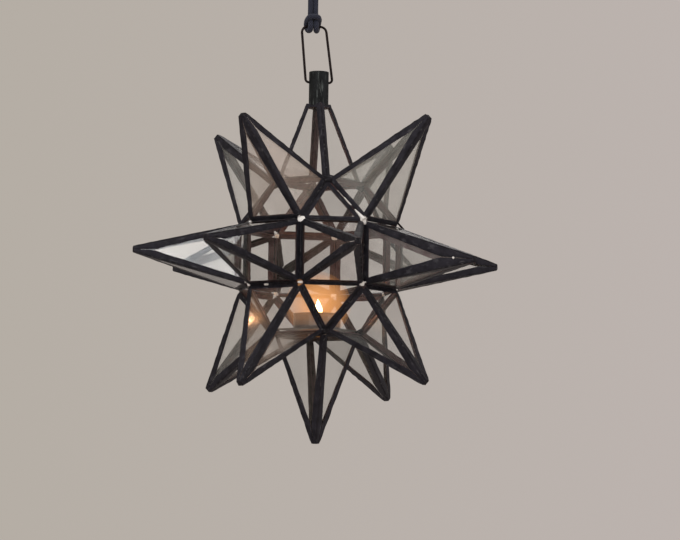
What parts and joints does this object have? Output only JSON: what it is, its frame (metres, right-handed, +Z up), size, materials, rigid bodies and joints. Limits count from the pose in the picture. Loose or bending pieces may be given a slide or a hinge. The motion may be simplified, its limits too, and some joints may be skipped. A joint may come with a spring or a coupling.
{
  "type": "moroccan star pendant light",
  "caption": "Hanging star lantern of clear glass points framed in blackened tin, with a hinged door point and a tealight inside, on a wire loop, a doubled cord and a ceiling hook.",
  "frame": {"origin": "on the ceiling's face, on the axis of the hook's shank; the lantern hangs below it", "axes": "+Z up along the hook's shank, -Y towards the front point, +X to the viewer's right when the front point faces the viewer"},
  "size_m": [0.2958, 0.2948, 0.457],
  "materials": {
    "blackened_tin": "blackened tin strip and solder, satin, with lighter rubbed streaks",
    "glass": "clear, slightly green and hazy",
    "hook_wire": "black, satin",
    "cord": "braided, dark navy",
    "plate_tin": "dull tinplate",
    "cup_aluminium": "thin pressed aluminium, satin",
    "wax": "paraffin wax, slightly translucent",
    "wick": "charred cotton"
  },
  "bodies": {
    "hook": {"ceiling_hook": "hook_wire"},
    "cord": {"hanging_cord": "cord"},
    "knot": {"cord_knot": "cord"},
    "loop": {"hanging_loop": "blackened_tin"},
    "star": {"neck_tube": "blackened_tin", "top_point_frame": "blackened_tin", "top_point_glass": "glass", "body_knuckles": "blackened_tin", "hinge_pin": "blackened_tin", "upper_back_right_frame": "blackened_tin", "upper_back_right_glass": "glass", "upper_back_left_frame": "blackened_tin", "upper_back_left_glass": "glass", "upper_front_left_frame": "blackened_tin", "upper_front_left_glass": "glass", "front_point_frame": "blackened_tin", "front_point_glass": "glass", "front_right_point_frame": "blackened_tin", "front_right_point_glass": "glass", "right_point_frame": "blackened_tin", "right_point_glass": "glass", "back_right_point_frame": "blackened_tin", "back_right_point_glass": "glass", "back_point_frame": "blackened_tin", "back_point_glass": "glass", "back_left_point_frame": "blackened_tin", "back_left_point_glass": "glass", "left_point_frame": "blackened_tin", "left_point_glass": "glass", "front_left_point_frame": "blackened_tin", "front_left_point_glass": "glass", "lower_front_right_frame": "blackened_tin", "lower_front_right_glass": "glass", "lower_back_right_frame": "blackened_tin", "lower_back_right_glass": "glass", "lower_back_left_frame": "blackened_tin", "lower_back_left_glass": "glass", "lower_front_left_frame": "blackened_tin", "lower_front_left_glass": "glass", "bottom_point_frame": "blackened_tin", "bottom_point_glass": "glass", "upper_triangle_frames": "blackened_tin", "upper_triangle_glass": "glass", "lower_triangle_frames": "blackened_tin", "lower_triangle_glass": "glass", "candle_plate": "plate_tin"},
    "door": {"door_frame": "blackened_tin", "door_glass": "glass", "door_knuckle": "blackened_tin"},
    "candle": {"candle_cup": "cup_aluminium", "candle_wax": "wax", "candle_wick": "wick"}
  },
  "joints": [
    {"name": "cord_swing", "type": "hinge", "parent": "hook", "child": "cord", "pos_m": [0, 0, -0.038], "axis": [0, 1, 0], "range_deg": [-25, 25]},
    {"name": "cord_twist", "type": "hinge", "parent": "cord", "child": "knot", "pos_m": [0, 0, -0.089], "axis": [0, 0, 1], "range_deg": [-45, 45]},
    {"name": "loop_tilt", "type": "hinge", "parent": "knot", "child": "loop", "pos_m": [0, 0, -0.1], "axis": [1, 0, 0], "range_deg": [-40, 40]},
    {"name": "star_tilt", "type": "hinge", "parent": "loop", "child": "star", "pos_m": [0.0056, 0, -0.1454], "axis": [1, 0, 0], "range_deg": [-40, 40]},
    {"name": "door_hinge", "type": "hinge", "parent": "star", "child": "door", "pos_m": [0.04388, 0.00052, -0.22659], "axis": [-0.5, 0.5, 0.7071], "range_deg": [0, 125]},
    {"name": "candle_lift", "type": "slide", "parent": "star", "child": "candle", "axis": [0, 0, 1], "range_m": [0, 0.03]}
  ]
}
